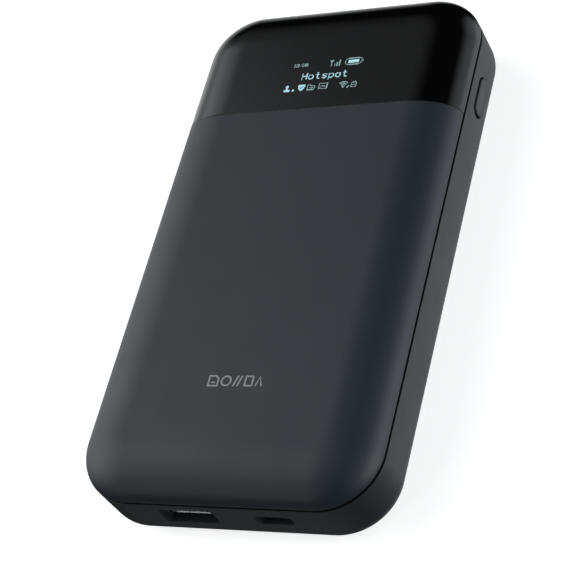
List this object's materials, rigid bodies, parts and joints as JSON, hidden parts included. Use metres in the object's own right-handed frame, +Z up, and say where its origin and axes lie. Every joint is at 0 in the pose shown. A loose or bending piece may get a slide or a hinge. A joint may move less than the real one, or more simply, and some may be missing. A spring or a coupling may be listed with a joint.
{
  "type": "mobile hotspot",
  "caption": "Pocket battery router with a crowned front, a glossy display end, a side power button, two USB sockets and a clip-on back cover over a lift-out battery.",
  "frame": {"origin": "middle of the flat underside of the back cover, on which the device lies", "axes": "+Z up, the way the display faces; +Y towards the display end, so that the USB sockets are at -Y; +X towards the side with the power button"},
  "size_m": [0.0781, 0.145, 0.0235],
  "materials": {
    "soft_touch": "soft-touch painted plastic, dark blue-grey",
    "soft_touch_frame": "soft-touch painted plastic, dark grey",
    "gloss_black": "high-gloss black",
    "black_plastic": "fine moulded black",
    "circuit_board": "green solder mask",
    "steel": "bright stamped steel",
    "tin": "tinned sheet",
    "gold": "gold-plated copper",
    "oled_glass": "black display glass",
    "flex": "amber polyimide ribbon",
    "battery_wrap": "satin shrink wrap",
    "thermal_pad": "soft grey silicone",
    "cable": "black coaxial jacket",
    "screw_black": "black zinc plate"
  },
  "bodies": {
    "housing": {"front_shell": "soft_touch", "display_window": "gloss_black", "mid_frame": "soft_touch_frame", "housing_screw_1": "screw_black", "housing_screw_2": "screw_black", "housing_screw_3": "screw_black", "housing_screw_4": "screw_black", "board_screw_1": "screw_black", "board_screw_2": "screw_black", "board_screw_3": "screw_black", "modem_screw": "screw_black", "main_board": "circuit_board", "port_board": "circuit_board", "card_board": "circuit_board", "switch_board": "circuit_board", "modem_board": "circuit_board", "board_header": "black_plastic", "modem_connector": "black_plastic", "contact_block": "black_plastic", "oled_retainer": "black_plastic", "usb_a_shell": "steel", "usb_a_tongue": "black_plastic", "usb_c_shell": "steel", "usb_c_tongue": "black_plastic", "oled_panel": "oled_glass", "oled_flex": "flex", "card_flex": "flex", "soc_shield": "tin", "power_shield": "tin", "modem_shield": "tin", "heat_spreader": "tin", "thermal_pad": "thermal_pad", "modem_standoff": "steel", "sim_socket": "steel", "microsd_socket": "steel", "reset_switch": "steel", "power_switch": "steel", "main_antenna": "gold", "diversity_antenna": "gold", "wifi_antenna": "gold", "main_antenna_lead": "cable", "diversity_antenna_lead": "cable", "wifi_antenna_lead": "cable", "contact_spring_1": "gold", "contact_spring_2": "gold", "contact_spring_3": "gold", "contact_spring_4": "gold"},
    "back_cover": {"back_cover": "soft_touch"},
    "battery": {"battery_cells": "battery_wrap", "battery_cap": "black_plastic", "battery_pad_1": "gold", "battery_pad_2": "gold", "battery_pad_3": "gold", "battery_pad_4": "gold"},
    "power_button": {"power_button_cap": "soft_touch_frame", "power_switch_plunger": "black_plastic"},
    "reset_button": {"reset_pin": "black_plastic"}
  },
  "joints": [
    {"name": "cover_release", "type": "slide", "parent": "housing", "child": "back_cover", "axis": [0, 0, -1], "range_m": [0, 0.03]},
    {"name": "battery_lift_out", "type": "slide", "parent": "housing", "child": "battery", "axis": [0, 0, -1], "range_m": [0, 0.015]},
    {"name": "power_press", "type": "slide", "parent": "housing", "child": "power_button", "axis": [-1, 0, 0], "range_m": [0, 0.0004], "stiffness_N_per_m": 1500, "springref_m": -0.0003},
    {"name": "reset_press", "type": "slide", "parent": "housing", "child": "reset_button", "axis": [0, 0, 1], "range_m": [0, 0.0003], "stiffness_N_per_m": 1500, "springref_m": -0.0003}
  ],
  "couplings": [
    {"joint": "battery_lift_out", "follows": "cover_release", "ratio": 0.5}
  ]
}
